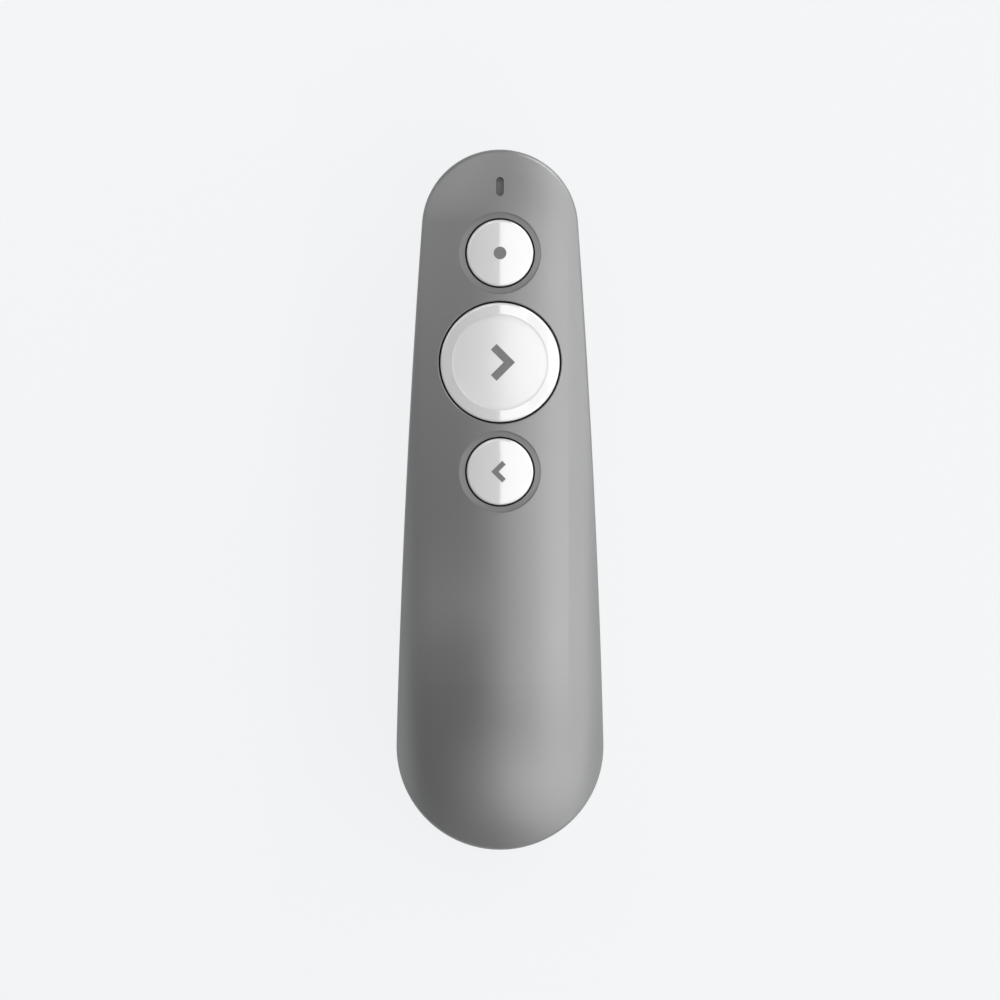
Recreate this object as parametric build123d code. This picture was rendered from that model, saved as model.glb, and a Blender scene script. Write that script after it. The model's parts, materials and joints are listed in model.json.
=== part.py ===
from build123d import *
from math import acos, asin, copysign, cos, degrees, radians, sin, sqrt
import os

# Wireless presentation clicker lying on its back.
# X is the width, +Y points to the laser end, +Z is up through the keys.
# All sizes are in millimetres and the body is centred on X and Y, with its back at Z = 0.

# ---------------------------------------------------------------- body
length = 126.4
depth = 29.5
tail_radius = 18.7
head_radius = 14.1
flank_radius = 2000.0
wall = 1.8
edge_round = 0.9
back_round = 2.4
lip_height = 1.2
wall_rib = 1.2
snap_inset = 24.0
snap_width = 5.0
snap_thickness = 1.0
snap_drop = 2.8
snap_root = 3.2
snap_catch_depth = 0.6
snap_catch_height = 1.1
snap_tip = 0.3
snap_shoulder = 0.5

crown_inset = 30.3
crown_tail_radius = 50.0
crown_tail_angle = 50.0
crown_radius = 105.0
waist_radius = 137.0
bow_angle = 7.1
brow_length = 13.2
brow_radius = 40.0
brow_angle = 32.0

arch_radius = 30.0
shoulder_inset = 6.3
shoulder_radius = 13.0
shoulder_angle = 80.0
section_reach = 30.0

rest_inset = 21.2
heel_radius = 30.0
heel_angle = 60.0
belly_inset = 12.7
belly_radius = 14.0
finger_rise_radius = 50.0
finger_radius = 140.0
finger_slope = 5.0
chin_inset = 12.7
chin_drop = 7.84
chin_radius = 50.0
chin_angle = 24.0

# ---------------------------------------------------------------- clearances
slide_gap = 0.3
part_gap = 0.15
fit_gap = 0.05
plunger_gap = 0.08
stop_gap = 0.2
board_gap = 0.4
reveal = 0.3
setback = 0.35
screw_gap = 0.1
overrun = 1.0
far_off = 200.0
same = 0.01
upright_share = 0.8

# ---------------------------------------------------------------- keys
laser_key_inset = 18.7
key_pitch = 19.7
small_key_radius = 6.0
big_key_radius = 10.76
key_gap = 0.32
key_travel = 0.6
key_wall = 1.3
key_round = 0.45
hole_edge = 0.15
flange_width = 0.8
flange_thickness = 0.8
key_tab_width = 8.0
key_ring_width = 1.6
recess_width = 1.1
recess_depth = 1.0
dish_radius = 8.67
dish_depth = 0.75
dish_across_radius = 60.0
dish_along_radius = 90.0
inlay_depth = 0.6
dot_radius = 1.15
big_arm = 3.34
big_stroke = 1.48
big_tip = 2.72
small_arm = 1.97
small_stroke = 0.94
small_tip = 1.57

# ---------------------------------------------------------------- switches and board
cover_at_keys = 2.59
small_key_hollow = 1.0
big_key_hollow = 0.4
spigot_wall = 0.8
stem_radius = 1.6
stem_length = 0.3
plunger_radius = 1.75
plunger_height = 0.8
plunger_root = 1.1
switch_size = 6.0
switch_height = 2.1
switch_lid = 0.3
lid_ear_thickness = 0.25
lid_ear_length = 5.2
lid_foot_spacing = 3.2
lid_foot_height = 0.9
board_thickness = 1.2
board_half_width = 11.5
board_margin = 3.4
board_past_key = 13.1
board_past_cell = 13.15
board_front_inset = 4.7
carrier_thickness = 1.0
carrier_past_key = 2.4
switch_window_gap = 0.5
post_radius = 1.9
post_x = 9.3
post_margin = 3.5
post_front_inset = 26.4
chip_size = 5.0
chip_height = 0.9
crystal_width = 2.5
crystal_length = 3.2
passive_width = 0.8
passive_height = 0.5
passive_pitch = 2.4
passive_count = 6
passive_row_x = 7.6
screw_core_radius = 0.8
screw_head_radius = 1.6
screw_head_height = 1.2
board_screw_length = 5.2
pilot_spare = 0.3
cross_margin = 0.6
cross_width = 0.4
cross_depth = 0.6

# ---------------------------------------------------------------- door, deck and battery
door_height = 7.7
deck_thickness = 1.2
cell_radius = 5.25
cell_length = 44.5
can_shoulder = 0.5
nub_radius = 1.9
nub_length = 1.2
cell_floor_gap = 0.4
bay_gap = 0.5
bay_wall = 1.25
spring_length = 3.0
spring_radius = 2.9
spring_wire = 0.35
spring_turns = 3
lead_radius = 0.5
lead_turn = 2.5
lead_board_inset = 2.0
contact_thickness = 0.3
contact_radius = 4.2
tab_width = 2.0
tab_side = 6.0
rail_x = 12.4
rail_web = 0.9
rail_foot = 1.2
rail_foot_height = 0.6
rail_drop = 2.4
rail_inset = 3.0
hook_rear_inset = 5.0
hook_front_inset = 3.0
hook_lip = 0.7
tongue_reach = 2.0
tongue_root = 2.4
tongue_x = 8.0
tongue_width = 3.0
door_tongue_thickness = 1.5
split_reach = 2.8
cradle_count = 3
cradle_margin = 5.0
cradle_half_width = 6.0
cradle_top = 3.6
boss_height = 2.0
boss_margin = 0.2
well_depth = 1.6
well_gap = 0.2
groove_depth = 0.4
groove_width = 1.1
groove_length = 13.0
groove_pitch = 2.6
groove_shortening = 2.0
groove_count = 5
groove_inset = 16.0

# ---------------------------------------------------------------- receiver
receiver_length = 18.7
cap_length = 6.6
cap_width = 14.4
cap_height = 5.8
cap_corner = 1.2
plug_corner = 0.6
plug_width = 12.0
plug_height = 4.5
plug_wall = 0.3
plug_window_x = 2.9
plug_window_inset = 5.2
plug_window_size = 2.0
dock_gap = 0.25
dock_wall = 1.1
nail_radius = 1.0
nail_depth = 0.4
nail_length = 7.2
nail_inset = 2.2
tongue_thickness = 1.9
tongue_side_gap = 0.4
tongue_inset = 0.6
pin_length = 6.4
pin_width = 1.0
pin_thickness = 0.12
pin_inset = 1.2
inner_pin_x = 1.0
outer_pin_x = 3.5

# ---------------------------------------------------------------- housing screws
column_x = 10.4
column_radius = 2.4
column_rear_inset = 27.2
column_board_gap = 1.1
housing_screw_length = 9.0
housing_head_radius = 1.9
housing_head_height = 1.3

# ---------------------------------------------------------------- laser and lamp
barrel_radius = 2.7
barrel_length = 9.5
barrel_front_gap = 3.3
barrel_bore_radius = 1.4
saddle_half_width = 4.2
saddle_rear_inset = 1.0
saddle_front_inset = 2.6
diode_radius = 1.9
diode_setback = 0.4
diode_base = 1.2
diode_cap_radius = 1.3
diode_cap_length = 2.0
diode_leg_reach = 1.6
leg_radius = 0.22
leg_pitch = 1.0
leg_turn = 1.0
leg_proud = 0.3
leg_hole_gap = 0.13
lens_radius = 1.9
lens_inset = 2.8
lens_thickness = 1.4
lens_curve_radius = 4.0
lens_ring_inset = 0.5
lens_ring_bore = 1.1
lens_ring_slot_width = 0.5
lens_ring_slot_depth = 0.4
bezel_width = 10.0
bezel_height = 5.0
bezel_flange_width = 0.8
bezel_flange_thickness = 0.8
bezel_reach = 8.0
beam_radius = 1.6
window_seat = 0.4
window_thickness = 0.8
lamp_inset = 6.7
lamp_width = 1.25
lamp_length = 3.3
lamp_height = 0.8
lamp_setback = 0.8
lamp_pad_margin = 1.3
pipe_flange_width = 0.7
pipe_flange_thickness = 0.8
lamp_chip_width = 1.2
lamp_chip_length = 2.0
cover_at_lamp = 3.04

# ---------------------------------------------------------------- derived levels
tail_y = -length / 2
nose_y = length / 2
tail_centre_y = tail_y + tail_radius
crown_y = tail_y + crown_inset
rest_rear_y = tail_y + rest_inset
head_centre_y = nose_y - head_radius
bow_drop = (crown_radius + waist_radius) * (1 - cos(radians(bow_angle)))
face_z = depth - bow_drop
arch_half_width = tail_radius - shoulder_inset
belly_half_width = tail_radius - belly_inset

laser_key_y = nose_y - laser_key_inset
next_key_y = laser_key_y - key_pitch
back_key_y = next_key_y - key_pitch
flange_top = face_z - cover_at_keys - part_gap
key_bottom = flange_top - flange_thickness
stem_bottom = key_bottom - stem_length
switch_top = stem_bottom - plunger_height
board_top = switch_top - switch_height
board_bottom = board_top - board_thickness
carrier_top = key_bottom - key_travel - stop_gap
carrier_bottom = carrier_top - carrier_thickness

deck_bottom = door_height + slide_gap
deck_top = deck_bottom + deck_thickness
cell_z = wall + cell_floor_gap + cell_radius
bay_radius = cell_radius + bay_gap
hull_radius = bay_radius + bay_wall
cap_bottom = deck_top + dock_gap
receiver_z = cap_bottom + cap_height / 2
seam_z = cap_bottom + cap_height + dock_gap + dock_wall
laser_z = board_bottom - board_gap - barrel_radius
chin_z = laser_z - chin_drop
finger_top = finger_rise_radius + finger_radius * cos(radians(finger_slope)) - chin_z
finger_rise_angle = degrees(acos(finger_top / (finger_rise_radius + finger_radius)))
finger_reach = (finger_rise_radius + finger_radius) * sin(radians(finger_rise_angle))
rest_front_y = nose_y - chin_inset - finger_reach + finger_radius * sin(radians(finger_slope))

plug_end_y = tail_y + setback + receiver_length
cap_end_y = plug_end_y - receiver_length + cap_length
bay_rear_y = plug_end_y + dock_gap + bay_wall
cell_rear_y = bay_rear_y + contact_thickness + spring_length
cell_front_y = cell_rear_y + cell_length
bay_front_y = cell_front_y + contact_thickness
door_front_y = bay_front_y + bay_wall + split_reach
bulkhead_y = door_front_y + slide_gap + tongue_reach + board_gap
board_rear_y = min(back_key_y - board_past_key, cell_front_y - board_past_cell)
board_front_y = nose_y - board_front_inset
lead_z = cell_z + hull_radius + lead_radius + fit_gap
boss_top = deck_top + boss_height

ring_z = face_z - cover_at_keys
roof_z = depth + 1.0
lamp_y = nose_y - lamp_inset
lamp_top = board_top + lamp_height
lamp_flange_top = face_z - cover_at_lamp
barrel_front_y = nose_y - barrel_front_gap
barrel_rear_y = barrel_front_y - barrel_length
diode_base_end_y = barrel_rear_y + diode_setback + diode_base
lens_rear_y = barrel_front_y - lens_inset
leg_y = barrel_rear_y - diode_leg_reach
leg_sites = (-leg_pitch, 0, leg_pitch)
window_y = nose_y - wall
snap_y = nose_y - snap_inset

key_sites = [
    (laser_key_y, small_key_radius),
    (next_key_y, big_key_radius),
    (back_key_y, small_key_radius),
]
post_rear_y = board_rear_y + post_margin
post_front_y = nose_y - post_front_inset
column_rear_y = tail_y + column_rear_inset
column_front_y = board_rear_y - column_board_gap - column_radius
post_sites = [(side * post_x, y) for side in (-1, 1) for y in (post_rear_y, post_front_y)]
column_sites = [(side * column_x, y) for side in (-1, 1) for y in (column_rear_y, column_front_y)]


# ---------------------------------------------------------------- small helpers
def slab(z_low, z_high, y_low=-far_off, y_high=far_off, half_width=far_off):
    box = Box(2 * half_width, y_high - y_low, z_high - z_low)
    return Pos(0, (y_low + y_high) / 2, (z_low + z_high) / 2) * box


def block(x_low, x_high, y_low, y_high, z_low, z_high):
    centre = Pos((x_low + x_high) / 2, (y_low + y_high) / 2, (z_low + z_high) / 2)
    return centre * Box(x_high - x_low, y_high - y_low, z_high - z_low)


def upright(radius, x, y, z_low, z_high):
    return Pos(x, y, (z_low + z_high) / 2) * Cylinder(radius, z_high - z_low)


def along_y(radius, x, z, y_low, y_high):
    centre = Pos(x, (y_low + y_high) / 2, z) * Rot(90, 0, 0)
    return centre * Cylinder(radius, y_high - y_low)


def mirrored(shape):
    return shape + mirror(shape, Plane.YZ)


def flip(point):
    return Vector(-point.X, point.Y)


# ---------------------------------------------------------------- outer form
def outline(inset):
    """Plan view: round tail and round head joined by two very flat flank arcs."""
    to_tail = flank_radius - tail_radius
    to_head = flank_radius - head_radius
    span = head_centre_y - tail_centre_y
    flank_y = ((to_tail**2 - to_head**2) / span + tail_centre_y + head_centre_y) / 2
    flank = Vector(-sqrt(to_tail**2 - (flank_y - tail_centre_y) ** 2), flank_y)

    def touch(centre_y, radius):
        centre = Vector(0, centre_y)
        return centre + (centre - flank).normalized() * (radius - inset)

    tail = touch(tail_centre_y, tail_radius)
    head = touch(head_centre_y, head_radius)
    side = flank + ((tail + head) * 0.5 - flank).normalized() * (flank_radius - inset)
    edges = [
        ThreePointArc(flip(tail), Vector(0, tail_y + inset), tail),
        ThreePointArc(tail, side, head),
        ThreePointArc(head, Vector(0, nose_y - inset), flip(head)),
        ThreePointArc(flip(head), flip(side), flip(tail)),
    ]
    return make_face(edges)


def carried(section, start, heading, steps):
    """Solids left by a section carried along a side view made of lines and tangent arcs.

    A step is a radius and a turn in degrees, or a length and no turn.
    """
    solids = []
    at = Vector(*start)
    for size, turn in steps:
        along = Vector(cos(radians(heading)), sin(radians(heading)))
        side = copysign(1, along.X)
        frame = Plane(origin=(0, at.X, at.Y), x_dir=(-side, 0, 0), z_dir=(0, along.X, along.Y))
        if turn == 0:
            solids.append(extrude(frame * section, size))
            at += along * size
            continue
        bend = copysign(1, turn)
        centre = at + Vector(-along.Y, along.X) * (size * bend)
        axis = Axis((0, centre.X, centre.Y), (bend, 0, 0))
        solids.append(revolve(frame * section, axis=axis, revolution_arc=abs(turn)))
        at = centre + (at - centre).rotate(Axis.Z, turn)
        heading += turn
    return solids


def face_tools(inset):
    """Side view of the face: palm crown, slight waist, straight key run, falling brow."""
    section = front_section(inset)
    tail = carried(section, (crown_y, depth), 180, [(crown_tail_radius, crown_tail_angle)])
    bow_reach = (crown_radius + waist_radius) * sin(radians(bow_angle))
    run = nose_y - brow_length - crown_y - bow_reach
    steps = [(crown_radius, -bow_angle), (waist_radius, bow_angle), (run, 0), (brow_radius, -brow_angle)]
    return [*tail, *carried(section, (crown_y, depth), 0, steps)]


def back_tools(inset):
    """Side view of the back: heel, flat rest, rise into the finger hollow, chin."""
    section = back_section(inset)
    heel = carried(section, (rest_rear_y, 0), 180, [(heel_radius, -heel_angle)])
    steps = [
        (rest_front_y - rest_rear_y, 0),
        (finger_rise_radius, finger_rise_angle),
        (finger_radius, finger_slope - finger_rise_angle),
        (chin_radius, chin_angle),
    ]
    return [*heel, *carried(section, (rest_rear_y, 0), 0, steps)]


def round_section(flat, centre_x, centre_z, radius, start, sign):
    """Region outside a shallow arch with a round shoulder on each side."""
    end = radians(shoulder_angle)

    def on_shoulder(angle):
        return Vector(centre_x + radius * sin(angle), centre_z + sign * radius * cos(angle))

    first = on_shoulder(start)
    mid = on_shoulder((start + end) / 2)
    last = on_shoulder(end)
    rim = Vector(section_reach, last.Y)
    corner = Vector(section_reach, sign * section_reach)
    edges = [
        flat(first),
        ThreePointArc(first, mid, last),
        Polyline(last, rim, corner, flip(corner), flip(rim), flip(last)),
        ThreePointArc(flip(last), flip(mid), flip(first)),
    ]
    return make_face(edges)


def front_section(inset):
    start = asin(arch_half_width / arch_radius)
    centre_x = (arch_radius - shoulder_radius) * sin(start)
    centre_z = -arch_radius + (arch_radius - shoulder_radius) * cos(start)

    def arch(first):
        return ThreePointArc(flip(first), Vector(0, -inset), first)

    return round_section(arch, centre_x, centre_z, shoulder_radius - inset, start, 1)


def back_section(inset):
    def floor(first):
        return Line(flip(first), first)

    return round_section(floor, belly_half_width, belly_radius, belly_radius - inset, 0, -1)


def body_form(inset):
    prism = extrude(Plane.XY.offset(-overrun) * outline(inset), depth + 2 * overrun)
    return prism - [*face_tools(inset), *back_tools(inset)]


def along(edge):
    return [edge @ t for t in (0.1, 0.3, 0.5, 0.7, 0.9)]


def on_rim(edge, rim):
    """True when an edge runs round the upright side of the body."""
    near = all(rim.distance_to(Vertex(p.X, p.Y, 0)) < same for p in along(edge))
    return near and abs((edge % 0.5).Z) < upright_share


def creases(form, side):
    """Edges where the face (side 1) or the back (side -1) meets the upright side."""
    rim = outline(0).faces()[0].outer_wire()
    return [edge for edge in form.edges() if on_rim(edge, rim) and side * ((edge @ 0.5).Z - seam_z) > 0]


def rounded_form():
    form = body_form(0)
    form = fillet(creases(form, 1), edge_round)
    return fillet(creases(form, -1), back_round)


def pill_along_y(width, height, z, y_low, y_high):
    frame = Plane(origin=(0, y_low, z), x_dir=(-1, 0, 0), z_dir=(0, 1, 0))
    return extrude(frame * SlotOverall(width, height), y_high - y_low)


def rounded_along_y(width, height, corner, z, y_low, y_high):
    frame = Plane(origin=(0, y_low, z), x_dir=(-1, 0, 0), z_dir=(0, 1, 0))
    return extrude(frame * RectangleRounded(width, height, corner), y_high - y_low)


def pill_upright(width, length_y, y, z_low, z_high):
    pill = Pos(0, y, z_low) * Rot(0, 0, 90) * SlotOverall(length_y, width)
    return extrude(pill, z_high - z_low)


outer = rounded_form()
inner = body_form(wall)
core = body_form(wall / 2)
flush = body_form(setback)
lamp_level = body_form(lamp_setback)
shell = outer - inner


# ---------------------------------------------------------------- front cover
def key_hole(radius):
    return radius + key_gap


def key_pads():
    """Pads with a flat underside that the key flanges come to rest below."""
    pads = [
        upright(key_hole(radius) + key_ring_width, 0, y, ring_z, roof_z) for y, radius in key_sites
    ]
    width = lamp_width + 2 * lamp_pad_margin
    length_y = lamp_length + 2 * lamp_pad_margin
    lamp_pad = pill_upright(width, length_y, lamp_y, lamp_flange_top, roof_z)
    return [pad & core for pad in [*pads, lamp_pad]]


def cover_posts():
    posts = [upright(post_radius, x, y, carrier_top, roof_z) for x, y in post_sites]
    columns = [upright(column_radius, x, y, boss_top + fit_gap, roof_z) for x, y in column_sites]
    return [post & core for post in [*posts, *columns]]


def snap_tabs():
    """Tabs inside the side walls near the head, with a catch on each that the rear cover holds."""
    front = snap_y + snap_width / 2
    rear = snap_y - snap_width / 2
    strip = extrude(outline(wall + fit_gap) - outline(wall + fit_gap + snap_thickness), roof_z)
    root = extrude(outline(wall / 2) - outline(wall + fit_gap + snap_thickness), roof_z)
    tab = strip & slab(seam_z - snap_drop, seam_z + snap_root, rear, front)
    tab += root & slab(seam_z + lip_height + part_gap, seam_z + snap_root, rear, front)
    return tab + snap_catch(0)


def snap_catch(gap):
    """The catch on a snap tab, or with a gap the pocket that takes it."""
    ring = extrude(outline(wall - snap_catch_depth - gap) - outline(wall + fit_gap), roof_z)
    low = seam_z - snap_drop + snap_tip
    half = snap_width / 2 - snap_shoulder + gap
    return ring & slab(low - gap, low + snap_catch_height + gap, snap_y - half, snap_y + half)


def pilot_holes():
    top = board_bottom + board_screw_length + pilot_spare
    posts = [upright(screw_core_radius, x, y, carrier_top - overrun, top) for x, y in post_sites]
    top = deck_bottom + well_depth + housing_screw_length + pilot_spare
    columns = [upright(screw_core_radius, x, y, boss_top - overrun, top) for x, y in column_sites]
    return [*posts, *columns]


def recess_tool(y, radius):
    """Flat round landing cut in the arched face round a small key, deepest ahead and behind it."""
    return upright(key_hole(radius) + recess_width, 0, y, face_z - recess_depth, roof_z)


def rim_of(shape, y, radius, z_low):
    def on_circle(edge):
        points = along(edge)
        on_radius = all(abs(sqrt(p.X**2 + (p.Y - y) ** 2) - radius) < same for p in points)
        return on_radius and all(p.Z > z_low for p in points)

    return [edge for edge in shape.edges() if on_circle(edge)]


def front_cover():
    cover = shell & slab(seam_z, roof_z)
    cover -= body_form(wall / 2 - part_gap) & slab(seam_z - overrun, seam_z + lip_height + part_gap)
    for piece in [*key_pads(), *cover_posts(), snap_tabs()]:
        cover += piece
    for y, radius in key_sites:
        cover -= upright(key_hole(radius), 0, y, carrier_top, roof_z)
    for y in (laser_key_y, back_key_y):
        cover -= recess_tool(y, small_key_radius)
    slot = (lamp_width + 2 * fit_gap, lamp_length + 2 * fit_gap)
    cover -= pill_upright(*slot, lamp_y, lamp_flange_top - overrun, roof_z)
    cover -= bezel_slot(fit_gap)
    for hole in pilot_holes():
        cover -= hole
    rims = rim_of(cover, next_key_y, key_hole(big_key_radius), ring_z + same)
    return chamfer(rims, hole_edge)


# ---------------------------------------------------------------- keys
def key_cap(y, radius, hollow):
    """White cap with a rounded rim, open below for the spigot of its base."""
    cap = upright(radius, 0, y, flange_top, roof_z) & outer
    cap = fillet(rim_of(cap, y, radius, flange_top + same), key_round)
    return cap - upright(radius - key_wall, 0, y, flange_top - overrun, flange_top + hollow)


def key_base(y, radius, hollow, flange):
    """Black base of a key: its flange, the spigot that the cap sits on and the stem over the switch."""
    reach = radius - key_wall - fit_gap
    base = upright(radius, 0, y, key_bottom, flange_top) + flange
    base += upright(reach, 0, y, flange_top, flange_top + hollow - part_gap)
    base -= upright(reach - spigot_wall, 0, y, flange_top, roof_z)
    return base + upright(stem_radius, 0, y, stem_bottom, key_bottom)


def small_key_base(y):
    flange_radius = key_hole(small_key_radius) + flange_width
    flange = upright(flange_radius, 0, y, key_bottom, flange_top)
    return key_base(y, small_key_radius, small_key_hollow, flange)


def big_key_base(y):
    """The flange of the large key is two tabs, because the cover is too narrow for a full ring."""
    flange_radius = key_hole(big_key_radius) + flange_width
    ring = upright(flange_radius, 0, y, key_bottom, flange_top)
    tabs = ring & slab(key_bottom, flange_top, half_width=key_tab_width / 2)
    return key_base(y, big_key_radius, big_key_hollow, tabs)


def dish_tool(y):
    """Saddle-shaped thumb dish, convex across the key and hollow along it."""
    floor_z = face_z - dish_depth
    half = dish_radius + overrun
    sag = dish_across_radius - sqrt(dish_across_radius**2 - half**2)
    half_turn = degrees(asin(half / dish_along_radius))
    frame = Plane(origin=(0, y, 0), x_dir=(1, 0, 0), z_dir=(0, -1, 0))
    left = (-half, floor_z - sag)
    right = (half, floor_z - sag)
    edges = [
        ThreePointArc(left, (0, floor_z), right),
        Polyline(right, (half, roof_z), (-half, roof_z), left),
    ]
    profile = frame * make_face(edges)
    axis = Axis((0, y, floor_z + dish_along_radius), (1, 0, 0))
    ring = revolve(profile.rotate(axis, -half_turn), axis=axis, revolution_arc=2 * half_turn)
    return ring & upright(dish_radius, 0, y, flange_top, roof_z)


def big_key(y):
    return key_cap(y, big_key_radius, big_key_hollow) - dish_tool(y)


def chevron(tip, arm, stroke, side):
    """Arrowhead outline with 45 degree arms, pointing along side * X."""
    cut = stroke / sqrt(2)
    upper = [(tip, 0), (tip - arm, arm), (tip - arm - cut, arm - cut), (tip - 2 * cut, 0)]
    lower = [(tip - arm - cut, cut - arm), (tip - arm, -arm)]
    points = [(side * x, y) for x, y in [*upper, *lower]]
    return make_face(Polyline(*points, close=True))


def inlay(sketch, y, top):
    return extrude(Pos(0, y, top - inlay_depth) * sketch, inlay_depth + overrun)


# ---------------------------------------------------------------- switches and board
def plunger(y):
    return upright(plunger_radius, 0, y, switch_top - plunger_root, stem_bottom)


def key_switch(y):
    half = switch_size / 2
    body = block(-half, half, y - half, y + half, board_top, switch_top - switch_lid)
    depth_of_bore = plunger_root + key_travel + part_gap
    return body - upright(plunger_radius + plunger_gap, 0, y, switch_top - depth_of_bore, switch_top)


def switch_lid_plate(y):
    """Pressed metal lid with two side ears and four solder feet."""
    half = switch_size / 2
    plate = block(-half, half, y - half, y + half, switch_top - switch_lid, switch_top)
    plate -= upright(plunger_radius + plunger_gap, 0, y, board_top, roof_z)
    ear_end = lid_ear_length / 2
    gap_end = lid_foot_spacing / 2
    ear = block(half, half + lid_ear_thickness, y - ear_end, y + ear_end, board_top, switch_top)
    ear -= block(half, half + overrun, y - gap_end, y + gap_end, board_top, board_top + lid_foot_height)
    return plate + mirrored(ear)


def circuit_board():
    board = extrude(Pos(0, 0, board_bottom) * outline(board_margin), board_thickness)
    board &= block(-board_half_width, board_half_width, board_rear_y, board_front_y, 0, roof_z)
    for x, y in post_sites:
        board -= upright(screw_core_radius + screw_gap, x, y, board_bottom, board_top)
    for x in leg_sites:
        board -= upright(leg_radius + leg_hole_gap, x, leg_y, board_bottom, board_top)
    board -= positive_tab(part_gap)
    return board


def key_carrier():
    """Black plate under the keys, with switch windows and tubular legs on the board."""
    front = laser_key_y + key_hole(small_key_radius) + carrier_past_key
    plate = extrude(Pos(0, 0, carrier_bottom) * outline(board_margin + fit_gap), carrier_thickness)
    plate &= block(-board_half_width, board_half_width, board_rear_y, front, 0, roof_z)
    for y, radius in key_sites:
        half = switch_size / 2 + switch_window_gap
        plate -= block(-half, half, y - half, y + half, carrier_bottom, carrier_top)
    for x, y in post_sites:
        plate += upright(post_radius, x, y, board_top, carrier_bottom)
        plate -= upright(screw_core_radius + screw_gap, x, y, board_top, carrier_top)
    return plate


def screw(x, y, head_low, head_radius, head_height, shank_length):
    head = upright(head_radius, x, y, head_low, head_low + head_height)
    shank = upright(screw_core_radius, x, y, head_low + head_height, head_low + head_height + shank_length)
    arm = head_radius - cross_margin
    half = cross_width / 2
    for half_x, half_y in ((arm, half), (half, arm)):
        head -= block(x - half_x, x + half_x, y - half_y, y + half_y, head_low, head_low + cross_depth)
    return head + shank


def board_screws():
    size = (screw_head_radius, screw_head_height, board_screw_length)
    return [screw(x, y, board_bottom - screw_head_height, *size) for x, y in post_sites]


def housing_screws():
    low = deck_bottom + well_depth - housing_head_height
    size = (housing_head_radius, housing_head_height, housing_screw_length)
    return [screw(x, y, low, *size) for x, y in column_sites]


def chip(x, y, size_x, size_y, height):
    low = board_bottom - height
    return block(x - size_x / 2, x + size_x / 2, y - size_y / 2, y + size_y / 2, low, board_bottom)


def radio_chip():
    return chip(0, next_key_y, chip_size, chip_size, chip_height)


def crystal_can():
    x = chip_size / 2 + 2 * passive_width + crystal_width / 2
    return chip(x, next_key_y, crystal_width, crystal_length, chip_height)


def chip_parts():
    """Small resistors and capacitors in two tidy rows beside the radio chip."""
    chips = []
    for step in range(passive_count):
        y = next_key_y + (step - (passive_count - 1) / 2) * passive_pitch
        for x in (-passive_row_x, passive_row_x):
            chips.append(chip(x, y, 2 * passive_width, passive_width, passive_height))
    return chips


# ---------------------------------------------------------------- battery
def contact_disc(y_low):
    return along_y(contact_radius, 0, cell_z, y_low, y_low + contact_thickness)


def positive_tab(gap):
    low = cell_front_y - gap
    high = bay_front_y + gap
    near = tab_side - tab_width / 2 - gap
    far = tab_side + tab_width / 2 + gap
    return block(near, far, low, high, deck_top + contact_thickness, board_top + gap)


def positive_contact():
    plate = contact_disc(cell_front_y)
    low = deck_top + contact_thickness
    plate += block(0, tab_side + tab_width / 2, cell_front_y, bay_front_y, low, low + tab_width)
    return plate + positive_tab(0)


def negative_contact():
    plate = contact_disc(bay_rear_y)
    half = tab_width / 2
    high = lead_z + lead_radius + contact_thickness
    return plate + block(-half, half, bay_rear_y, bay_rear_y + contact_thickness, cell_z, high)


def battery_can():
    can = along_y(cell_radius, 0, cell_z, cell_rear_y, cell_front_y - nub_length)
    ends = can.edges().filter_by(GeomType.CIRCLE)
    return chamfer(ends, can_shoulder)


def battery_nub():
    return along_y(nub_radius, 0, cell_z, cell_front_y - nub_length, cell_front_y)


def battery_spring():
    height = spring_length - 2 * spring_wire
    start = Vector(0, bay_rear_y + contact_thickness + spring_wire, cell_z)
    coil = Helix(height / spring_turns, height, spring_radius, center=start, direction=(0, 1, 0))
    section = Plane(origin=coil @ 0, z_dir=coil % 0) * Circle(spring_wire)
    return sweep(section, path=coil)


def negative_lead():
    """Insulated lead lying on the battery hull and turning up to the board."""
    start = Vector(bay_rear_y + contact_thickness, lead_z)
    rise_y = board_rear_y + lead_board_inset
    run = Line(start, (rise_y - lead_turn, lead_z))
    bend = JernArc(run @ 1, (1, 0), lead_turn, 90)
    rise = Line(bend @ 1, (rise_y, board_bottom))
    path = Plane.YZ * Wire([run, bend, rise])
    section = Plane(origin=path @ 0, z_dir=path % 0) * Circle(lead_radius)
    return sweep(section, path=path)


# ---------------------------------------------------------------- rear cover
def deck():
    return core & slab(deck_bottom, deck_top, tail_y, bulkhead_y + wall_rib)


def battery_hull():
    rear = bay_rear_y - bay_wall
    front = bay_front_y + bay_wall
    hull = along_y(hull_radius, 0, cell_z, rear, front) & slab(deck_bottom, roof_z)
    for y in (rear, bay_front_y):
        hull += along_y(cell_radius, 0, cell_z, y, y + bay_wall)
    return hull


def battery_bay():
    """Everything cut away for the cell, its two contacts and their tabs."""
    bay = along_y(bay_radius, 0, cell_z, bay_rear_y, bay_front_y)
    high = cell_z + hull_radius + overrun
    far = tab_side + tab_width / 2 + part_gap
    tab = block(0, far, cell_front_y - part_gap, bay_front_y, deck_top, high)
    half = tab_width / 2 + part_gap
    rear_slot = block(-half, half, bay_rear_y, bay_rear_y + contact_thickness + part_gap, cell_z, high)
    return [bay, tab, rear_slot]


def receiver_dock():
    half = cap_width / 2 + dock_gap + dock_wall
    return block(-half, half, tail_y, bay_rear_y - bay_wall / 2, deck_bottom, seam_z) & core


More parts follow.
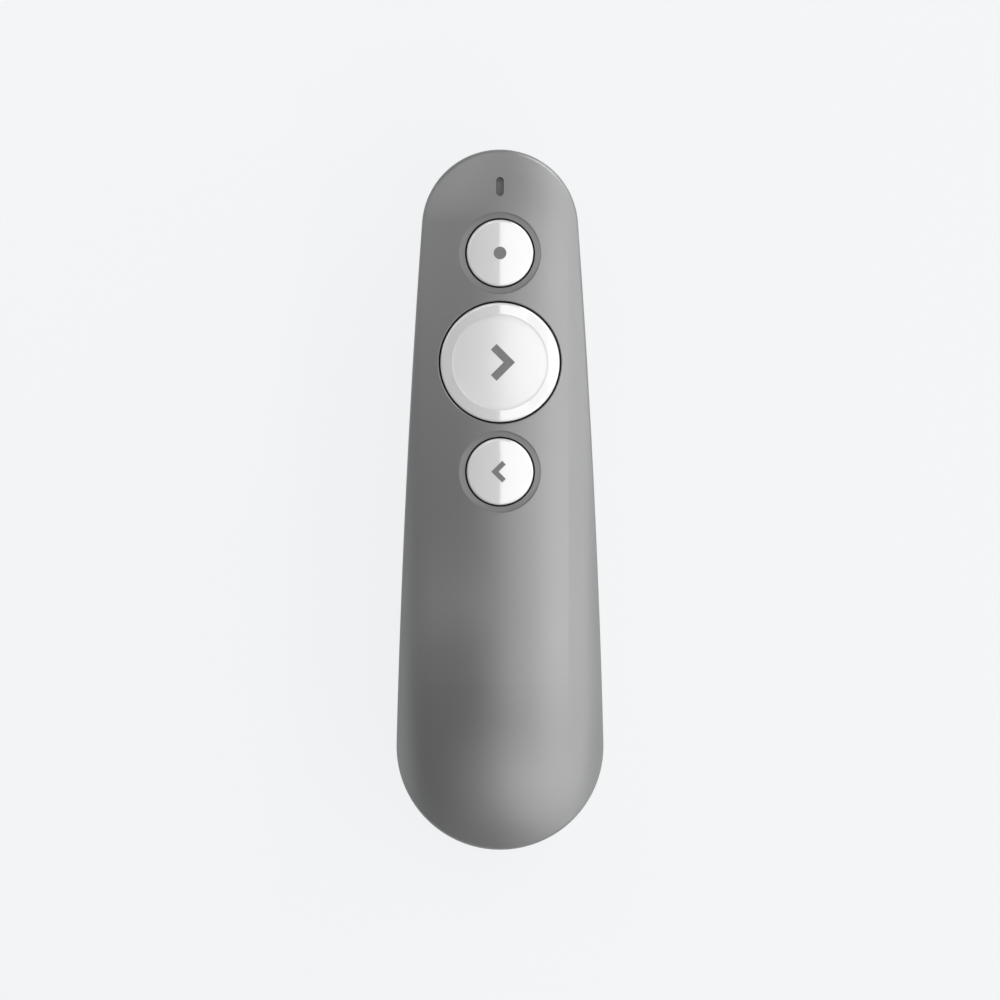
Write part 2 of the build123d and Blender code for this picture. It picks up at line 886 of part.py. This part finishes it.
def dock_channels():
    cap_size = (cap_width + 2 * dock_gap, cap_height + 2 * dock_gap, cap_corner + dock_gap)
    plug_size = (plug_width + 2 * dock_gap, plug_height + 2 * dock_gap, plug_corner)
    mouth = rounded_along_y(*cap_size, receiver_z, tail_y - overrun, cap_end_y + dock_gap)
    throat = rounded_along_y(*plug_size, receiver_z, cap_end_y, plug_end_y + dock_gap)
    return [mouth, throat]


def laser_saddle():
    ribs = []
    half = saddle_half_width
    for y in (barrel_rear_y + saddle_rear_inset, barrel_front_y - saddle_front_inset):
        rib = block(-half, half, y, y + wall_rib, 0, laser_z) & core
        ribs.append(rib - along_y(barrel_radius, 0, laser_z, y, y + wall_rib))
    return ribs


def door_rails():
    """Hanging L-shaped rails that carry the battery door."""
    rear = bay_rear_y + rail_inset
    front = bay_front_y
    low = deck_bottom - rail_drop
    web = block(rail_x, rail_x + rail_web, rear, front, low, deck_bottom + deck_thickness / 2)
    foot = block(rail_x - rail_foot, rail_x + rail_web / 2, rear, front, low, low + rail_foot_height)
    return mirrored(web + foot)


def screw_bosses():
    return [upright(column_radius + boss_margin, x, y, deck_bottom, boss_top) for x, y in column_sites]


def screw_wells():
    wells = []
    for x, y in column_sites:
        wells.append(upright(housing_head_radius + well_gap, x, y, deck_bottom, deck_bottom + well_depth))
        wells.append(upright(screw_core_radius + well_gap, x, y, deck_bottom, boss_top))
    return wells


def bezel_slot(gap):
    width = bezel_width + 2 * gap
    height = bezel_height + 2 * gap
    return pill_along_y(width, height, laser_z, nose_y - bezel_reach, nose_y + overrun)


def bezel_flange(gap):
    width = bezel_width + 2 * bezel_flange_width + 2 * gap
    height = bezel_height + 2 * bezel_flange_width + 2 * gap
    return pill_along_y(width, height, laser_z, nose_y - bezel_reach, nose_y + overrun)


def seam_lip():
    lip = (core - inner) & slab(seam_z - reveal, seam_z + lip_height)
    return lip - bezel_flange(part_gap)


def rear_cover():
    skin = shell & slab(0, seam_z)
    skin -= slab(0, deck_bottom, tail_y, door_front_y + slide_gap)
    skin -= slab(seam_z - reveal, seam_z) - flush
    cover = skin + seam_lip()
    bulkhead = core & slab(0, deck_top, bulkhead_y, bulkhead_y + wall_rib)
    additions = [deck(), bulkhead, battery_hull(), receiver_dock(), door_rails()]
    for piece in [*additions, *screw_bosses(), *laser_saddle()]:
        cover += piece
    for tool in [*battery_bay(), *dock_channels(), *screw_wells(), bezel_slot(fit_gap), snap_catch(fit_gap)]:
        cover -= tool
    return cover


# ---------------------------------------------------------------- battery door
def door_hooks():
    """Upright hooks whose lips ride over the feet of the cover rails."""
    rear = bay_rear_y + hook_rear_inset
    front = bay_front_y - hook_front_inset
    lip_low = deck_bottom - rail_drop + rail_foot_height + slide_gap
    lip_high = lip_low + hook_lip
    web_x = rail_x - rail_foot - slide_gap
    web = block(web_x - rail_web, web_x, rear, front, 0, lip_high) & core
    lip = block(web_x - rail_web / 2, rail_x - slide_gap, rear, front, lip_low, lip_high)
    return mirrored(web + lip)


def cell_room():
    """Round space that the door leaves for the cell, its contacts and the end walls of the bay."""
    rear = bay_rear_y - bay_wall - slide_gap
    front = bay_front_y + bay_wall + slide_gap
    return along_y(cell_radius + slide_gap, 0, cell_z, rear, front)


def cell_cradles():
    cradles = []
    half = cradle_half_width
    pitch = (cell_length - 2 * cradle_margin - wall_rib) / (cradle_count - 1)
    for step in range(cradle_count):
        y = cell_rear_y + cradle_margin + pitch * step
        cradles.append(block(-half, half, y, y + wall_rib, 0, cradle_top) & core)
    return cradles


def door_tongues():
    """Two tongues that follow the floor and tuck inside the rear cover ahead of the split line."""
    top = wall + slide_gap + door_tongue_thickness
    left = tongue_x - tongue_width / 2
    right = tongue_x + tongue_width / 2
    rear = door_front_y - tongue_root
    above = body_form(top)
    reach = block(left, right, rear, door_front_y + tongue_reach, 0, deck_bottom - slide_gap)
    root = block(left, right, rear, door_front_y, 0, deck_bottom - slide_gap)
    return mirrored((reach & body_form(wall + slide_gap)) + (root & core) - above)


def grip_grooves():
    grooves = []
    for step in range(groove_count):
        y = bay_rear_y + groove_inset + groove_pitch * step
        groove = SlotOverall(groove_length - groove_shortening * step, groove_width)
        grooves.append(extrude(Pos(0, y, 0) * groove, groove_depth))
    return grooves


def battery_door():
    door = shell & slab(0, door_height, tail_y, door_front_y)
    for piece in [door_hooks(), door_tongues(), *cell_cradles()]:
        door += piece
    for tool in [cell_room(), *grip_grooves()]:
        door -= tool
    return door


# ---------------------------------------------------------------- receiver
def receiver_cap():
    """Cap flush with the tail, with a nail groove across its underside."""
    cap = rounded_along_y(cap_width, cap_height, cap_corner, receiver_z, tail_y, cap_end_y) & flush
    nail_z = receiver_z - cap_height / 2 - (nail_radius - nail_depth)
    nail = Rot(0, 90, 0) * Cylinder(nail_radius, nail_length)
    return cap - Pos(0, tail_y + setback + nail_inset, nail_z) * nail


def receiver_plug():
    """Folded steel tube of a full-size USB plug, with two square windows above and below."""
    tube = rounded_along_y(plug_width, plug_height, plug_corner, receiver_z, cap_end_y, plug_end_y)
    bore = (plug_width - 2 * plug_wall, plug_height - 2 * plug_wall, plug_corner - plug_wall)
    tube -= rounded_along_y(*bore, receiver_z, cap_end_y, plug_end_y)
    low = plug_end_y - plug_window_inset - plug_window_size / 2
    high = low + plug_window_size
    for side in (-1, 1):
        window = Box(plug_window_size, high - low, plug_height)
        tube -= Pos(side * plug_window_x, (low + high) / 2, receiver_z) * window
    return tube


def receiver_tongue():
    half = plug_width / 2 - plug_wall - tongue_side_gap
    top = receiver_z + plug_height / 2 - plug_wall
    return block(-half, half, cap_end_y, plug_end_y - tongue_inset, top - tongue_thickness, top)


def receiver_contacts():
    top = receiver_z + plug_height / 2 - plug_wall - tongue_thickness
    front = plug_end_y - pin_inset
    half = pin_width / 2
    sites = (-outer_pin_x, -inner_pin_x, inner_pin_x, outer_pin_x)
    return [block(x - half, x + half, front - pin_length, front, top - pin_thickness, top) for x in sites]


# ---------------------------------------------------------------- laser and lamp
def laser_barrel():
    barrel = along_y(barrel_radius, 0, laser_z, barrel_rear_y, barrel_front_y)
    barrel -= along_y(diode_radius, 0, laser_z, barrel_rear_y, diode_base_end_y)
    barrel -= along_y(barrel_bore_radius, 0, laser_z, barrel_rear_y, barrel_front_y)
    return barrel - along_y(lens_radius, 0, laser_z, lens_rear_y, barrel_front_y)


def laser_diode():
    base = along_y(diode_radius, 0, laser_z, barrel_rear_y + diode_setback, diode_base_end_y)
    end = diode_base_end_y + diode_cap_length
    return base + along_y(diode_cap_radius, 0, laser_z, diode_base_end_y, end)


def laser_leads():
    """Three diode legs bent up through the board."""
    run = Line((barrel_rear_y + diode_setback, laser_z), (leg_y + leg_turn, laser_z))
    bend = JernArc(run @ 1, (-1, 0), leg_turn, -90)
    rise = Line(bend @ 1, (leg_y, board_top + leg_proud))
    path = Plane.YZ * Wire([run, bend, rise])
    section = Plane(origin=path @ 0, z_dir=path % 0) * Circle(leg_radius)
    leg = sweep(section, path=path)
    return [Pos(x, 0, 0) * leg for x in leg_sites]


def collimating_lens():
    disc = along_y(lens_radius, 0, laser_z, lens_rear_y, lens_rear_y + lens_thickness)
    dome = Pos(0, lens_rear_y + lens_thickness - lens_curve_radius, laser_z) * Sphere(lens_curve_radius)
    return disc & dome


def lens_ring():
    """Retaining ring in front of the lens, with a slot across its face for a key."""
    rear = lens_rear_y + lens_thickness
    front = barrel_front_y - lens_ring_inset
    ring = along_y(lens_radius, 0, laser_z, rear, front)
    ring -= along_y(lens_ring_bore, 0, laser_z, rear, front)
    low = laser_z - lens_ring_slot_width / 2
    high = laser_z + lens_ring_slot_width / 2
    return ring - block(-lens_radius, lens_radius, front - lens_ring_slot_depth, front, low, high)


def laser_bezel():
    """Dark oval nose lens frame, held between the covers by a flange inside the wall."""
    behind = extrude(outline(wall + bezel_flange_thickness), roof_z)
    plate = (bezel_slot(0) & extrude(outline(setback), roof_z)) - behind
    flange = (bezel_flange(0) & extrude(outline(wall), roof_z)) - behind
    bezel = plate + flange
    bezel -= along_y(beam_radius, 0, laser_z, window_y, nose_y)
    return bezel - along_y(beam_radius - window_seat, 0, laser_z, nose_y - bezel_reach, nose_y)


def laser_window():
    return along_y(beam_radius - fit_gap, 0, laser_z, window_y, window_y + window_thickness)


def light_pipe():
    """Smoked lens sunk in its slot, with a flange under the cover and a foot over the lamp."""
    pipe = pill_upright(lamp_width, lamp_length, lamp_y, lamp_top + slide_gap, roof_z) & lamp_level
    width = lamp_width + 2 * pipe_flange_width
    length_y = lamp_length + 2 * pipe_flange_width
    low = lamp_flange_top - pipe_flange_thickness
    return pipe + pill_upright(width, length_y, lamp_y, low, lamp_flange_top)


def indicator_lamp():
    half_x = lamp_chip_width / 2
    half_y = lamp_chip_length / 2
    return block(-half_x, half_x, lamp_y - half_y, lamp_y + half_y, board_top, lamp_top)


# ---------------------------------------------------------------- build
def build_nodes():
    laser_cap = key_cap(laser_key_y, small_key_radius, small_key_hollow)
    next_cap = big_key(next_key_y)
    back_cap = key_cap(back_key_y, small_key_radius, small_key_hollow)
    dot = inlay(Circle(dot_radius), laser_key_y, face_z)
    next_arrow = inlay(chevron(big_tip, big_arm, big_stroke, 1), next_key_y, face_z - dish_depth)
    back_arrow = inlay(chevron(small_tip, small_arm, small_stroke, -1), back_key_y, face_z)
    return {
        "front_cover": front_cover(),
        "rear_cover": rear_cover(),
        "battery_door": battery_door(),
        "laser_key": laser_cap - dot,
        "laser_dot": laser_cap & dot,
        "next_key": next_cap - next_arrow,
        "next_arrow": next_cap & next_arrow,
        "back_key": back_cap - back_arrow,
        "back_arrow": back_cap & back_arrow,
        "laser_key_base": small_key_base(laser_key_y),
        "next_key_base": big_key_base(next_key_y),
        "back_key_base": small_key_base(back_key_y),
        "laser_plunger": plunger(laser_key_y),
        "next_plunger": plunger(next_key_y),
        "back_plunger": plunger(back_key_y),
        "laser_switch": key_switch(laser_key_y),
        "next_switch": key_switch(next_key_y),
        "back_switch": key_switch(back_key_y),
        "switch_lids": [switch_lid_plate(y) for y, radius in key_sites],
        "key_carrier": key_carrier(),
        "circuit_board": circuit_board(),
        "radio_chip": radio_chip(),
        "crystal_can": crystal_can(),
        "chip_parts": chip_parts(),
        "board_screws": board_screws(),
        "housing_screws": housing_screws(),
        "laser_bezel": laser_bezel(),
        "laser_window": laser_window(),
        "laser_barrel": laser_barrel(),
        "laser_diode": laser_diode(),
        "laser_leads": laser_leads(),
        "collimating_lens": collimating_lens(),
        "lens_ring": lens_ring(),
        "light_pipe": light_pipe(),
        "indicator_lamp": indicator_lamp(),
        "battery_can": battery_can(),
        "battery_nub": battery_nub(),
        "battery_spring": battery_spring(),
        "positive_contact": positive_contact(),
        "negative_contact": negative_contact(),
        "negative_lead": negative_lead(),
        "receiver_cap": receiver_cap(),
        "receiver_plug": receiver_plug(),
        "receiver_tongue": receiver_tongue(),
        "receiver_contacts": receiver_contacts(),
    }


def export(name, shape):
    solids = shape if isinstance(shape, list) else [shape]
    whole = solids[0] if len(solids) == 1 else Compound(children=solids)
    export_step(whole, f"parts/{name}.step")


os.makedirs("parts", exist_ok=True)
for node_name, node_shape in build_nodes().items():
    export(node_name, node_shape)
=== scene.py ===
import json
from math import cos, pi, radians, sin, tan

import bpy
from mathutils import Matrix, Vector


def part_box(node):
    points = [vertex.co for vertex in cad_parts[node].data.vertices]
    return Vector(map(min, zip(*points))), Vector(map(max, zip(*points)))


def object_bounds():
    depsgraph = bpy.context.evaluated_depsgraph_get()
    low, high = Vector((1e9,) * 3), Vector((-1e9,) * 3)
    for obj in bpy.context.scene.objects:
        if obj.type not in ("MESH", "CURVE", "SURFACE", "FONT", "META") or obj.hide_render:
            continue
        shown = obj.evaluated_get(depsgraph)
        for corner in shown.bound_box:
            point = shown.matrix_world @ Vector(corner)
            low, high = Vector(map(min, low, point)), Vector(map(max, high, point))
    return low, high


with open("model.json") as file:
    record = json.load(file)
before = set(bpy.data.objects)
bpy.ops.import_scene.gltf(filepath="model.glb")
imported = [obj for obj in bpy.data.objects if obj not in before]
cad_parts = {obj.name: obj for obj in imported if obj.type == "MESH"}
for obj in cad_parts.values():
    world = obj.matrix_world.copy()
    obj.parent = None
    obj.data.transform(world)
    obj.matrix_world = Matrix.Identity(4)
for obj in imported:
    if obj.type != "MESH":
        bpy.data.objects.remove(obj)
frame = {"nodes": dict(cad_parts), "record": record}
cad_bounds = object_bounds()

# Wireless presentation clicker lying on its back on a pale table, seen from straight above.
# Metres, +Y to the laser end, +Z up through the keys.
MM = 0.001

# ---------------------------------------------------------------- camera
VIEW_WIDTH = 180.57 * MM  # what the photograph's 1000 pixels take in
LENS = 600.0
SENSOR = 36.0
CLIP_END = 100.0
WIDEST_SHARE = 0.7  # the outline is widest at this share of the height

# ---------------------------------------------------------------- stage and lights
BACKDROP = (0.899, 0.917, 0.925)
BACKDROP_SHARE = 0.93  # the rest of the floor's look is lit paper, which keeps the shadow
PAPER = (0.8, 0.8, 0.8)
TABLE_REACH = 30.0
TABLE_GAP = 0.02 * MM
WORLD_LEVEL = 0.12
FAR = 0.8  # distance of a softbox that lights the whole body
NEAR = 0.25  # distance of one that lights the keys or one end

# ---------------------------------------------------------------- finishes
KEY_WHITE = (0.66, 0.66, 0.665)
KEY_GLOSS = 0.08
KEY_IOR = 2.0
DISH_RADIUS = 8.67 * MM
DISH_SATIN = 0.25
EDGE_BLUR = 0.05 * MM
COAT_GRAIN = 0.16 * MM
COAT_CLOUD = 14 * MM
MOULD_GRAIN = 0.12 * MM
MOULD_CLOUD = 3 * MM
POLISH_PEEL = 1.6 * MM
POLISH_CLOUD = 6 * MM
PLATE_MARKS = 0.5 * MM
PLATE_CLOUD = 2 * MM
CLEAR_HAZE = 2 * MM
NOISE_LOW, NOISE_HIGH = 0.3, 0.7  # the range that most noise values lie in

low, high = cad_bounds
centre = (low + high) / 2


# ---------------------------------------------------------------- node helpers
class Recipe:
    """A procedural material under construction: its nodes, its links and its main shader."""

    def __init__(self, name, roughness=0.5, metallic=0.0, ior=1.5):
        self.material = bpy.data.materials.new(name)
        self.material.use_nodes = True
        self.tree = self.material.node_tree
        self.shader = self.tree.nodes["Principled BSDF"]
        self.shader.inputs["Roughness"].default_value = roughness
        self.shader.inputs["Metallic"].default_value = metallic
        self.shader.inputs["IOR"].default_value = ior
        self.place = self.add("ShaderNodeTexCoord").outputs["Object"]

    def add(self, kind, **settings):
        node = self.tree.nodes.new(kind)
        for key, value in settings.items():
            setattr(node, key, value)
        return node

    def join(self, source, target):
        self.tree.links.new(source, target)

    def noise(self, size, detail=3.0, stretch=(1, 1, 1)):
        """Noise whose features are about `size` metres across."""
        mapping = self.add("ShaderNodeMapping")
        mapping.inputs["Scale"].default_value = stretch
        noise = self.add("ShaderNodeTexNoise")
        noise.inputs["Scale"].default_value = 1 / size
        noise.inputs["Detail"].default_value = detail
        self.join(self.place, mapping.inputs["Vector"])
        self.join(mapping.outputs["Vector"], noise.inputs["Vector"])
        return noise.outputs["Fac"]

    def spread(self, factor, start, end):
        """The factor's middle range stretched over start..end."""
        scale = self.add("ShaderNodeMapRange")
        scale.inputs["From Min"].default_value = NOISE_LOW
        scale.inputs["From Max"].default_value = NOISE_HIGH
        scale.inputs["To Min"].default_value = start
        scale.inputs["To Max"].default_value = end
        self.join(factor, scale.inputs["Value"])
        return scale.outputs["Result"]

    def blend(self, factor, first, second):
        """A ramp from the first colour to the second."""
        ramp = self.add("ShaderNodeValToRGB")
        ramp.color_ramp.elements[0].position = NOISE_LOW
        ramp.color_ramp.elements[0].color = (*first, 1)
        ramp.color_ramp.elements[1].position = NOISE_HIGH
        ramp.color_ramp.elements[1].color = (*second, 1)
        self.join(factor, ramp.inputs["Fac"])
        return ramp.outputs["Color"]

    def disc(self, middle, radius, inside, outside):
        """One value inside an upright cylinder round the middle and another outside it."""
        flat = self.add("ShaderNodeMapping")
        flat.inputs["Location"].default_value = (-middle.x, -middle.y, 0)
        flat.inputs["Scale"].default_value = (1, 1, 0)
        reach = self.add("ShaderNodeVectorMath", operation="LENGTH")
        scale = self.add("ShaderNodeMapRange")
        scale.inputs["From Min"].default_value = radius - EDGE_BLUR
        scale.inputs["From Max"].default_value = radius + EDGE_BLUR
        scale.inputs["To Min"].default_value = inside
        scale.inputs["To Max"].default_value = outside
        self.join(self.place, flat.inputs["Vector"])
        self.join(flat.outputs["Vector"], reach.inputs[0])
        self.join(reach.outputs["Value"], scale.inputs["Value"])
        return scale.outputs["Result"]

    def bump(self, height, distance):
        bump = self.add("ShaderNodeBump")
        bump.inputs["Distance"].default_value = distance
        self.join(height, bump.inputs["Height"])
        return bump.outputs["Normal"]

    def colour(self, output):
        self.join(output, self.shader.inputs["Base Color"])

    def rough(self, output):
        self.join(output, self.shader.inputs["Roughness"])

    def normal(self, output):
        self.join(output, self.shader.inputs["Normal"])


def shade(colour, factor):
    return tuple(channel * factor for channel in colour)


# ---------------------------------------------------------------- materials
def soft_touch(name, colour):
    """Soft-touch paint: very fine even grain, faint cloudiness in tone and gloss."""
    recipe = Recipe(name, roughness=0.45, ior=2.0)
    recipe.shader.inputs["Specular IOR Level"].default_value = 0.87
    grain = recipe.noise(COAT_GRAIN, detail=2.0)
    cloud = recipe.noise(COAT_CLOUD, detail=4.0)
    recipe.colour(recipe.blend(cloud, shade(colour, 0.97), shade(colour, 1.03)))
    recipe.rough(recipe.spread(cloud, 0.43, 0.47))
    recipe.normal(recipe.bump(grain, 0.004 * MM))
    return recipe.material


def polished(name, colour, roughness, ior):
    """A polished moulding's recipe: a trace of orange peel and of tone from place to place."""
    recipe = Recipe(name, roughness=roughness, ior=ior)
    recipe.shader.inputs["Specular IOR Level"].default_value = 0.8
    cloud = recipe.noise(POLISH_CLOUD)
    peel = recipe.noise(POLISH_PEEL, detail=1.0)
    recipe.colour(recipe.blend(cloud, shade(colour, 0.985), colour))
    recipe.rough(recipe.spread(cloud, roughness * 0.85, roughness * 1.15))
    recipe.normal(recipe.bump(peel, 0.0006 * MM))
    return recipe


def gloss_plastic(name, colour, roughness=KEY_GLOSS, ior=1.6):
    return polished(name, colour, roughness, ior).material


def dished_plastic(name, colour, node):
    """Polished cap with a satin thumb dish in the middle of the node's top."""
    corner, far_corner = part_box(node)
    recipe = polished(name, colour, KEY_GLOSS, KEY_IOR)
    recipe.rough(recipe.disc((corner + far_corner) / 2, DISH_RADIUS, DISH_SATIN, KEY_GLOSS))
    return recipe.material


def matt_plastic(name, colour, roughness=0.55):
    """Spark-eroded moulding texture."""
    recipe = Recipe(name, roughness=roughness)
    grain = recipe.noise(MOULD_GRAIN, detail=4.0)
    cloud = recipe.noise(MOULD_CLOUD)
    recipe.colour(recipe.blend(cloud, shade(colour, 0.9), shade(colour, 1.1)))
    recipe.rough(recipe.spread(grain, roughness - 0.06, roughness + 0.06))
    recipe.normal(recipe.bump(grain, 0.01 * MM))
    return recipe.material


def plated_metal(name, colour, roughness=0.3, stretch=(1, 14, 14)):
    """Plated or rolled metal with fine marks across the rolling direction."""
    recipe = Recipe(name, roughness=roughness, metallic=1.0)
    marks = recipe.noise(PLATE_MARKS, detail=5.0, stretch=stretch)
    cloud = recipe.noise(PLATE_CLOUD)
    recipe.colour(recipe.blend(cloud, shade(colour, 0.88), colour))
    recipe.rough(recipe.spread(marks, roughness - 0.08, roughness + 0.1))
    recipe.normal(recipe.bump(marks, 0.002 * MM))
    return recipe.material


def clear_plastic(name, colour, roughness=0.03):
    recipe = Recipe(name, roughness=roughness, ior=1.49)
    recipe.shader.inputs["Transmission Weight"].default_value = 1.0
    haze = recipe.noise(CLEAR_HAZE)
    recipe.colour(recipe.blend(haze, shade(colour, 0.98), colour))
    recipe.rough(recipe.spread(haze, roughness, roughness + 0.02))
    return recipe.material


MATERIALS = {
    "soft_grey": soft_touch("soft_grey_coat", (0.085, 0.085, 0.085)),
    "white_gloss": gloss_plastic("white_gloss_key", KEY_WHITE, ior=KEY_IOR),
    "icon_grey": matt_plastic("icon_grey_inlay", (0.155, 0.155, 0.155), roughness=0.4),
    "switch_black": matt_plastic("switch_black_moulding", (0.02, 0.02, 0.02)),
    "carrier_black": matt_plastic("carrier_black_moulding", (0.012, 0.012, 0.012), roughness=0.6),
    "chip_black": matt_plastic("chip_black_package", (0.03, 0.03, 0.033), roughness=0.5),
    "nose_black": gloss_plastic("nose_black_lens", (0.015, 0.015, 0.017), roughness=0.06),
    "smoke_plastic": gloss_plastic("smoke_light_pipe", (0.13, 0.13, 0.13), roughness=0.25),
    "lamp_white": gloss_plastic("lamp_white_body", (0.75, 0.73, 0.62), roughness=0.3),
    "board_green": matt_plastic("board_green_resist", (0.02, 0.12, 0.05), roughness=0.35),
    "tinned_steel": plated_metal("tinned_steel_sheet", (0.66, 0.66, 0.67), roughness=0.32),
    "spring_steel": plated_metal("spring_steel_nickel", (0.72, 0.7, 0.66), roughness=0.25),
    "plug_steel": plated_metal("plug_steel_nickel", (0.66, 0.66, 0.67), roughness=0.28),
    "screw_steel": plated_metal("screw_steel_zinc", (0.34, 0.34, 0.36), roughness=0.35),
    "turned_brass": plated_metal("turned_brass_tube", (0.74, 0.56, 0.27), stretch=(1, 30, 1)),
    "gilt_brass": plated_metal("gilt_brass_pin", (0.85, 0.66, 0.32), roughness=0.22),
    "clear_lens": clear_plastic("clear_lens_glass", (0.95, 0.98, 0.98)),
    "cell_wrap": gloss_plastic("cell_wrap_film", (0.05, 0.055, 0.07), roughness=0.2),
    "lead_black": matt_plastic("lead_black_sleeve", (0.02, 0.02, 0.02), roughness=0.45),
}

NODE_MATERIALS = {
    "next_key": dished_plastic("white_dished_key", KEY_WHITE, "next_key"),
}


def dress_nodes():
    """Each node's material goes into all of its slots."""
    for part in frame["record"]["subparts"]:
        piece = frame["nodes"][part["node"]]
        material = NODE_MATERIALS.get(part["node"], MATERIALS[part["material_slot"]])
        for slot in piece.material_slots:
            slot.material = material


# ---------------------------------------------------------------- stage
def pale_table():
    """A wide pale floor that keeps a faint shadow and fades into the backdrop."""
    mesh = bpy.data.meshes.new("table")
    side = TABLE_REACH
    corners = [(-side, -side, 0), (side, -side, 0), (side, side, 0), (-side, side, 0)]
    mesh.from_pydata(corners, [], [(0, 1, 2, 3)])
    table = bpy.data.objects.new("table", mesh)
    table.location.z = low.z - TABLE_GAP
    bpy.context.scene.collection.objects.link(table)
    mesh.materials.append(table_material())


def seen_directly(tree):
    """1 for rays that show the backdrop itself: from the camera, in a mirror or through glass."""
    path = tree.nodes.new("ShaderNodeLightPath")
    first = tree.nodes.new("ShaderNodeMath")
    first.operation = "MAXIMUM"
    both = tree.nodes.new("ShaderNodeMath")
    both.operation = "MAXIMUM"
    tree.links.new(path.outputs["Is Camera Ray"], first.inputs[0])
    tree.links.new(path.outputs["Is Transmission Ray"], first.inputs[1])
    tree.links.new(first.outputs[0], both.inputs[0])
    tree.links.new(path.outputs["Is Glossy Ray"], both.inputs[1])
    return both.outputs[0]


def table_material():
    """Paper for the light that falls on it, mixed with the backdrop for the rays that show it."""
    material = bpy.data.materials.new("table_paper")
    material.use_nodes = True
    tree = material.node_tree
    tree.nodes.clear()
    paper = tree.nodes.new("ShaderNodeBsdfDiffuse")
    paper.inputs["Color"].default_value = (*PAPER, 1)
    glow = tree.nodes.new("ShaderNodeEmission")
    glow.inputs["Color"].default_value = (*BACKDROP, 1)
    share = tree.nodes.new("ShaderNodeMath")
    share.operation = "MULTIPLY"
    share.inputs[1].default_value = BACKDROP_SHARE
    tree.links.new(seen_directly(tree), share.inputs[0])
    mix = tree.nodes.new("ShaderNodeMixShader")
    tree.links.new(share.outputs[0], mix.inputs[0])
    tree.links.new(paper.outputs[0], mix.inputs[1])
    tree.links.new(glow.outputs[0], mix.inputs[2])
    output = tree.nodes.new("ShaderNodeOutputMaterial")
    tree.links.new(mix.outputs[0], output.inputs[0])
    return material


def studio_world():
    """A dim even fill that the camera sees as the backdrop."""
    world = bpy.data.worlds.new("studio")
    bpy.context.scene.world = world
    world.use_nodes = True
    tree = world.node_tree
    background = tree.nodes["Background"]
    background.inputs["Color"].default_value = (*BACKDROP, 1)
    mix = tree.nodes.new("ShaderNodeMapRange")
    mix.inputs["To Min"].default_value = WORLD_LEVEL
    mix.inputs["To Max"].default_value = 1.0
    path = tree.nodes.new("ShaderNodeLightPath")
    tree.links.new(path.outputs["Is Camera Ray"], mix.inputs["Value"])
    tree.links.new(mix.outputs["Result"], background.inputs["Strength"])


def softbox(name, side, lean, half_lean, ahead, behind, level, distance=FAR):
    """A softbox facing the object, in degrees as the object sees it.

    It leans from overhead towards side * X and reaches ahead along +Y and behind along -Y, where a
    negative reach stops short of the middle. Its level is its brightness next to a white card.
    """
    away = Vector((side * sin(radians(lean)), 0, cos(radians(lean))))
    along = Vector((0, 1, 0))
    y_high = distance * tan(radians(ahead))
    y_low = -distance * tan(radians(behind))
    light = bpy.data.lights.new(name, "AREA")
    light.shape = "RECTANGLE"
    light.size = 2 * distance * tan(radians(half_lean))
    light.size_y = y_high - y_low
    light.energy = level * pi * light.size * light.size_y
    lamp = bpy.data.objects.new(name, light)
    turn = Matrix((along.cross(away), along, away)).transposed().to_4x4()
    place = centre + away * distance + along * (y_high + y_low) / 2
    lamp.matrix_world = Matrix.Translation(place) @ turn
    lamp.visible_camera = False
    bpy.context.scene.collection.objects.link(lamp)


def studio_lights():
    """A bright right side against a dark left one, with a step in the white keys' reflection at x = 0."""
    softbox("key_near", 1, 24, half_lean=24, ahead=16, behind=15, level=1.15, distance=NEAR)
    softbox("tail_near", 1, 30, half_lean=18, ahead=-15, behind=40, level=0.4, distance=NEAR)
    softbox("head_top", -1, 30, half_lean=18, ahead=40, behind=-15, level=1.15, distance=NEAR)
    softbox("head_side", -1, 62, half_lean=14, ahead=35, behind=-10, level=1.2, distance=NEAR)
    softbox("overhead", 1, 10, half_lean=10, ahead=35, behind=35, level=0.5)
    softbox("right_wall", 1, 42, half_lean=6, ahead=35, behind=35, level=3.6)
    softbox("side_wall", 1, 74, half_lean=14, ahead=35, behind=35, level=2.0)
    softbox("left_wall", -1, 60, half_lean=25, ahead=35, behind=35, level=0.15)
    softbox("front_side", 1, 60, half_lean=20, ahead=60, behind=-35, level=6.5)
    softbox("front_left", -1, 20, half_lean=20, ahead=60, behind=-35, level=1.6)
    softbox("back_right", 1, 40, half_lean=40, ahead=-35, behind=60, level=2.3)
    softbox("back_left", -1, 20, half_lean=20, ahead=-35, behind=60, level=0.6)


def camera_above():
    """A long lens straight above that frames the outline as the photograph does."""
    data = bpy.data.cameras.new("camera")
    data.lens = LENS
    data.sensor_width = SENSOR
    data.clip_end = CLIP_END
    camera = bpy.data.objects.new("camera", data)
    camera.location = (0, 0, WIDEST_SHARE * high.z + VIEW_WIDTH * LENS / SENSOR)
    bpy.context.scene.collection.objects.link(camera)
    bpy.context.scene.camera = camera


# ---------------------------------------------------------------- scene
camera_above()
dress_nodes()
pale_table()
studio_world()
studio_lights()
bpy.context.scene.view_settings.view_transform = "Standard"
